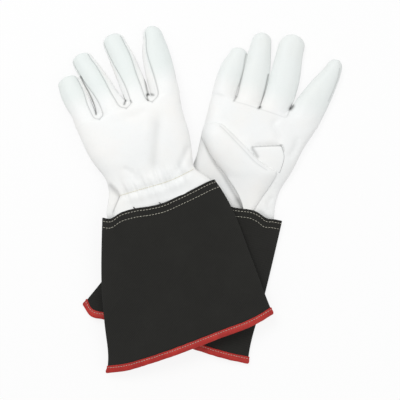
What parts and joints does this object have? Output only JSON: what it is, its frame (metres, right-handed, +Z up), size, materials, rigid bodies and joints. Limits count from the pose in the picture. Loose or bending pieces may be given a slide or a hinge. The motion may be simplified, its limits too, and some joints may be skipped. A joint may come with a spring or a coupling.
{
  "type": "pair of welding gloves",
  "caption": "Pair of gauntlet welding gloves lying crossed: soft white leather hands with folding fingers, dark flared cloth cuffs and red bound hems.",
  "frame": {"origin": "on the table, under the middle of the pair as it lies", "axes": "+Z up from the table, +Y towards the fingertips, +X towards the right glove's hand"},
  "size_m": [0.3173, 0.3813, 0.0301],
  "materials": {
    "leather": "soft smooth grain, matt",
    "fourchette_leather": "soft smooth grain, matt",
    "cuff_denim": "twill cotton, matt",
    "hem_binding": "woven tape, matt",
    "elastic": "woven elastic tape"
  },
  "bodies": {
    "left_gauntlet": {"left_cuff_back_panel": "cuff_denim", "left_cuff_palm_panel": "cuff_denim", "left_cuff_binding": "hem_binding", "left_wrist_back": "leather", "left_wrist_palm": "leather", "left_wrist_elastic": "elastic"},
    "left_hand": {"left_hand_back": "leather", "left_hand_palm": "leather", "left_thumb_gusset": "leather"},
    "left_thumb": {"left_thumb_outer": "leather", "left_thumb_inner": "leather"},
    "left_little_finger": {"left_little_back": "leather", "left_little_front": "leather", "left_little_fourchettes": "fourchette_leather"},
    "left_ring_finger": {"left_ring_back": "leather", "left_ring_front": "leather", "left_ring_fourchettes": "fourchette_leather"},
    "left_middle_finger": {"left_middle_back": "leather", "left_middle_front": "leather", "left_middle_fourchettes": "fourchette_leather"},
    "left_index_finger": {"left_index_back": "leather", "left_index_front": "leather", "left_index_fourchettes": "fourchette_leather"},
    "right_gauntlet": {"right_cuff_back_panel": "cuff_denim", "right_cuff_palm_panel": "cuff_denim", "right_cuff_binding": "hem_binding", "right_wrist_back": "leather", "right_wrist_palm": "leather", "right_wrist_elastic": "elastic"},
    "right_hand": {"right_hand_back": "leather", "right_hand_palm": "leather", "right_thumb_gusset": "leather"},
    "right_thumb": {"right_thumb_outer": "leather", "right_thumb_inner": "leather"},
    "right_little_finger": {"right_little_back": "leather", "right_little_front": "leather", "right_little_fourchettes": "fourchette_leather"},
    "right_ring_finger": {"right_ring_back": "leather", "right_ring_front": "leather", "right_ring_fourchettes": "fourchette_leather"},
    "right_middle_finger": {"right_middle_back": "leather", "right_middle_front": "leather", "right_middle_fourchettes": "fourchette_leather"},
    "right_index_finger": {"right_index_back": "leather", "right_index_front": "leather", "right_index_fourchettes": "fourchette_leather"}
  },
  "joints": [
    {"name": "left_glove_lift", "type": "slide", "parent": "right_gauntlet", "child": "left_gauntlet", "axis": [0, 0, 1], "range_m": [0, 0.12]},
    {"name": "left_wrist_fold", "type": "hinge", "parent": "left_gauntlet", "child": "left_hand", "pos_m": [-0.0574, 0.02904, 0.02702], "axis": [0.9455, 0.3256, 0], "range_deg": [0, 45]},
    {"name": "left_little_fold", "type": "hinge", "parent": "left_hand", "child": "left_little_finger", "pos_m": [-0.12799, 0.08818, 0.02578], "axis": [0.9455, 0.3256, 0], "range_deg": [0, 60]},
    {"name": "left_ring_fold", "type": "hinge", "parent": "left_hand", "child": "left_ring_finger", "pos_m": [-0.09963, 0.09794, 0.02578], "axis": [0.9455, 0.3256, 0], "range_deg": [0, 60]},
    {"name": "left_middle_fold", "type": "hinge", "parent": "left_hand", "child": "left_middle_finger", "pos_m": [-0.07032, 0.10804, 0.02578], "axis": [0.9455, 0.3256, 0], "range_deg": [0, 60]},
    {"name": "left_index_fold", "type": "hinge", "parent": "left_hand", "child": "left_index_finger", "pos_m": [-0.03982, 0.11853, 0.02578], "axis": [0.9455, 0.3256, 0], "range_deg": [0, 60]},
    {"name": "right_wrist_fold", "type": "hinge", "parent": "right_gauntlet", "child": "right_hand", "pos_m": [0.03756, 0.02359, 0.014], "axis": [0.9397, -0.342, 0], "range_deg": [0, 45]},
    {"name": "right_little_fold", "type": "hinge", "parent": "right_hand", "child": "right_little_finger", "pos_m": [0.02367, 0.11261, 0.015], "axis": [0.9397, -0.342, 0], "range_deg": [0, 75]},
    {"name": "right_ring_fold", "type": "hinge", "parent": "right_hand", "child": "right_ring_finger", "pos_m": [0.05186, 0.10235, 0.015], "axis": [0.9397, -0.342, 0], "range_deg": [0, 75]},
    {"name": "right_middle_fold", "type": "hinge", "parent": "right_hand", "child": "right_middle_finger", "pos_m": [0.08099, 0.09175, 0.015], "axis": [0.9397, -0.342, 0], "range_deg": [0, 75]},
    {"name": "right_index_fold", "type": "hinge", "parent": "right_hand", "child": "right_index_finger", "pos_m": [0.1113, 0.08072, 0.015], "axis": [0.9397, -0.342, 0], "range_deg": [0, 75]},
    {"name": "left_thumb_swing", "type": "hinge", "parent": "left_hand", "child": "left_thumb", "pos_m": [-0.05573, 0.06029, 0.01179], "axis": [0.0092, -0.0269, -0.9996], "range_deg": [0, 25]},
    {"name": "right_thumb_lift", "type": "hinge", "parent": "right_hand", "child": "right_thumb", "pos_m": [0.04679, 0.03726, 0.028], "axis": [0.766, 0.6428, 0], "range_deg": [0, 100]}
  ]
}
